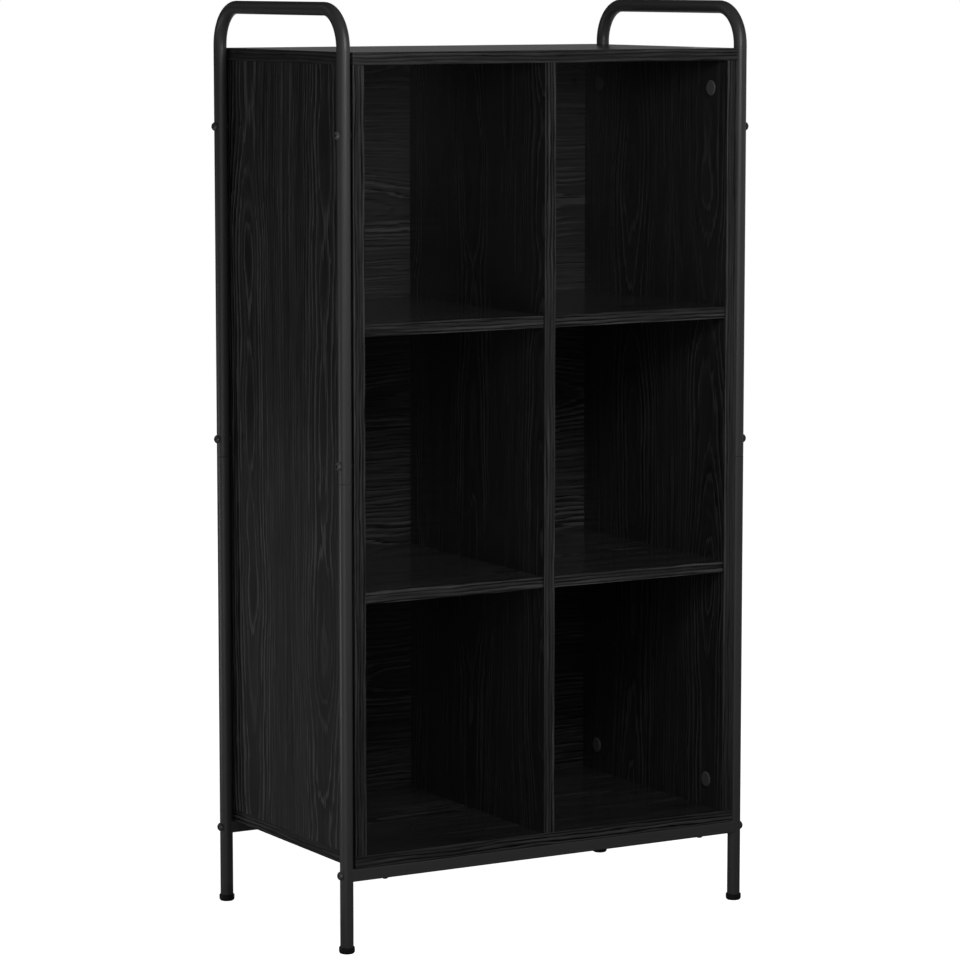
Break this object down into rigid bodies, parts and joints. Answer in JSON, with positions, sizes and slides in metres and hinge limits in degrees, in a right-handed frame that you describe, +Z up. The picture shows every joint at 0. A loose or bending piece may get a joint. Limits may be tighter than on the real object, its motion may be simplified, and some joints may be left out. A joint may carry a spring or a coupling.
{
  "type": "bookcase",
  "caption": "Open bookcase of boarded compartments either side of a centre divider, carried between two bent round-tube side frames that rise into handles above the top.",
  "frame": {"origin": "on the floor under the middle of the bookcase, at the bottom centre of its box", "axes": "+X to the bookcase's right as seen from its open front, +Y from the front to the back, +Z up"},
  "size_m": [0.5728, 0.335, 1.119],
  "materials": {
    "black_oak": "black oak grain melamine on board, low sheen",
    "black_powder_coat": "satin black powder coat on steel tube",
    "foot_plastic": "moulded black plastic, matt",
    "black_bolt": "black finished steel, satin",
    "zinc_hardware": "zinc plated",
    "beech": "plain beech",
    "cap_plastic": "moulded dark grey plastic, satin"
  },
  "bodies": {
    "root": {"top_panel": "black_oak", "bottom_panel": "black_oak", "left_side_panel": "black_oak", "right_side_panel": "black_oak", "centre_divider": "black_oak", "lower_left_shelf": "black_oak", "lower_right_shelf": "black_oak", "upper_left_shelf": "black_oak", "upper_right_shelf": "black_oak", "lower_back_board": "black_oak", "middle_back_board": "black_oak", "upper_back_board": "black_oak", "left_upper_frame": "black_powder_coat", "right_upper_frame": "black_powder_coat", "front_left_leg": "black_powder_coat", "front_right_leg": "black_powder_coat", "rear_left_leg": "black_powder_coat", "rear_right_leg": "black_powder_coat", "front_crossbar": "black_powder_coat", "rear_crossbar": "black_powder_coat", "front_left_foot": "foot_plastic", "front_right_foot": "foot_plastic", "rear_left_foot": "foot_plastic", "rear_right_foot": "foot_plastic", "frame_bolts": "black_bolt", "crossbar_bolts": "black_bolt", "crossbar_screws": "black_bolt", "panel_inserts": "zinc_hardware", "crossbar_plugs": "zinc_hardware", "cam_locks": "zinc_hardware", "cam_bolts": "zinc_hardware", "back_board_screws": "zinc_hardware", "panel_dowels": "beech", "shelf_dowels": "beech", "divider_dowels": "beech", "cam_cover_caps": "cap_plastic"}
  },
  "joints": []
}
